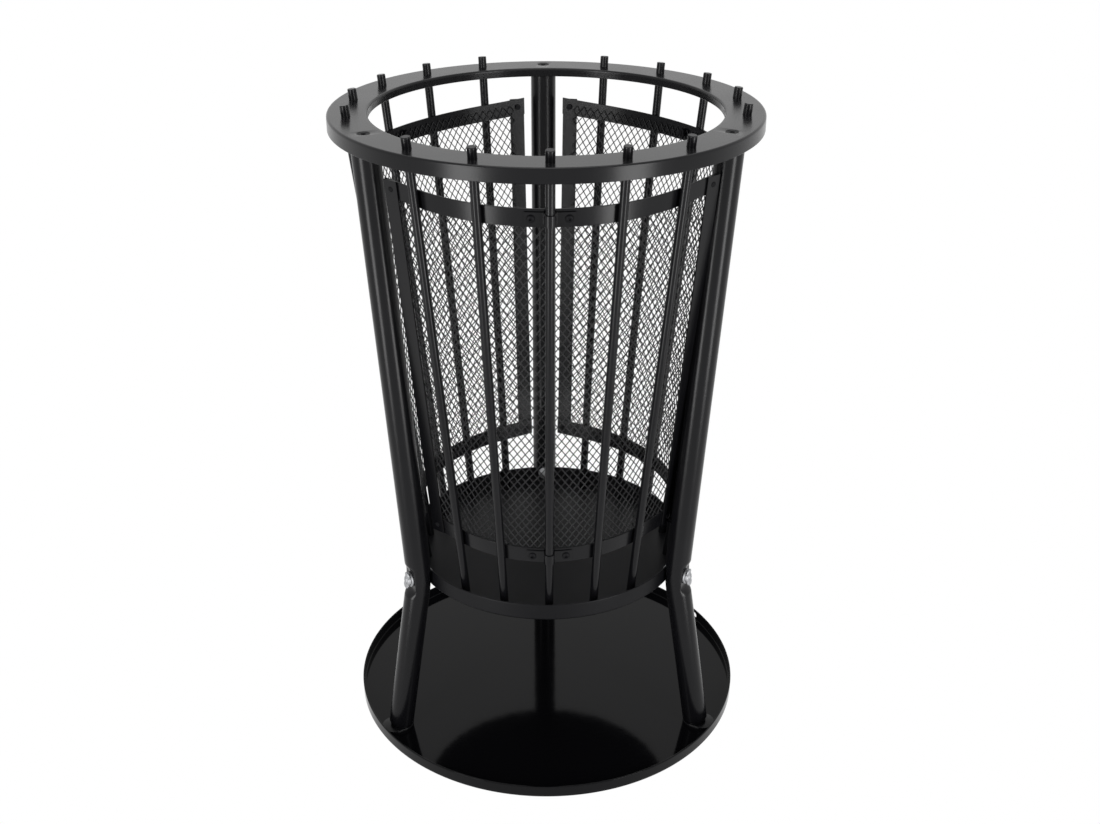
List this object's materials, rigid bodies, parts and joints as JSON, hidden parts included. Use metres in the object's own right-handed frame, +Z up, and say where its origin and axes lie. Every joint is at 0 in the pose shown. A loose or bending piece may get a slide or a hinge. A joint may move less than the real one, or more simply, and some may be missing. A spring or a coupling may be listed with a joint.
{
  "type": "fire basket",
  "caption": "Tapering basket of upright rods with curved mesh panels, a flat top ring, a shallow fire pan and bent tube legs that stand in a round ground tray.",
  "frame": {"origin": "centre of the ground tray's underside, on the ground", "axes": "+Z up; +Y towards the back leg, so the front of the picture is -Y; +X to the right"},
  "size_m": [0.397, 0.397, 0.6304],
  "materials": {
    "powder_coat": "semi-gloss black powder coat",
    "gloss_enamel": "gloss black coat",
    "mesh_wire": "satin black wire",
    "black_fasteners": "satin black",
    "zinc_plate": "bright zinc plate",
    "plug_steel": "plain steel"
  },
  "bodies": {
    "basket": {"top_ring": "powder_coat", "fire_pan": "powder_coat", "ground_tray": "gloss_enamel", "ring_screws": "black_fasteners", "leg_plugs": "plug_steel", "carriage_bolts": "zinc_plate", "washers": "zinc_plate", "strap_screws": "black_fasteners", "strap_nuts": "black_fasteners", "panel_rivets": "black_fasteners", "leg_back": "powder_coat", "leg_left": "powder_coat", "leg_right": "powder_coat", "foot_back": "powder_coat", "foot_left": "powder_coat", "foot_right": "powder_coat", "rod_01": "powder_coat", "rod_02": "powder_coat", "rod_03": "powder_coat", "rod_04": "powder_coat", "rod_05": "powder_coat", "rod_06": "powder_coat", "rod_07": "powder_coat", "rod_08": "powder_coat", "rod_09": "powder_coat", "rod_10": "powder_coat", "rod_11": "powder_coat", "rod_12": "powder_coat", "rod_13": "powder_coat", "rod_14": "powder_coat", "rod_15": "powder_coat", "left_mesh": "mesh_wire", "left_top_strip": "powder_coat", "left_bottom_strip": "powder_coat", "left_left_bar": "powder_coat", "left_right_bar": "powder_coat", "left_top_strap": "powder_coat", "left_bottom_strap": "powder_coat", "front_mesh": "mesh_wire", "front_top_strip": "powder_coat", "front_bottom_strip": "powder_coat", "front_left_bar": "powder_coat", "front_right_bar": "powder_coat", "front_top_strap": "powder_coat", "front_bottom_strap": "powder_coat", "right_mesh": "mesh_wire", "right_top_strip": "powder_coat", "right_bottom_strip": "powder_coat", "right_left_bar": "powder_coat", "right_right_bar": "powder_coat", "right_top_strap": "powder_coat", "right_bottom_strap": "powder_coat"},
    "wing_nut_back": {"wing_nut_back": "zinc_plate"},
    "wing_nut_left": {"wing_nut_left": "zinc_plate"},
    "wing_nut_right": {"wing_nut_right": "zinc_plate"}
  },
  "joints": [
    {"name": "wing_nut_back_turn", "type": "hinge", "parent": "basket", "child": "wing_nut_back", "pos_m": [0, 0.16, 0.17275], "axis": [0, 1, 0], "continuous": true},
    {"name": "wing_nut_left_turn", "type": "hinge", "parent": "basket", "child": "wing_nut_left", "pos_m": [-0.13856, -0.08, 0.17275], "axis": [-0.866, -0.5, 0], "continuous": true},
    {"name": "wing_nut_right_turn", "type": "hinge", "parent": "basket", "child": "wing_nut_right", "pos_m": [0.13856, -0.08, 0.17275], "axis": [0.866, -0.5, 0], "continuous": true}
  ]
}
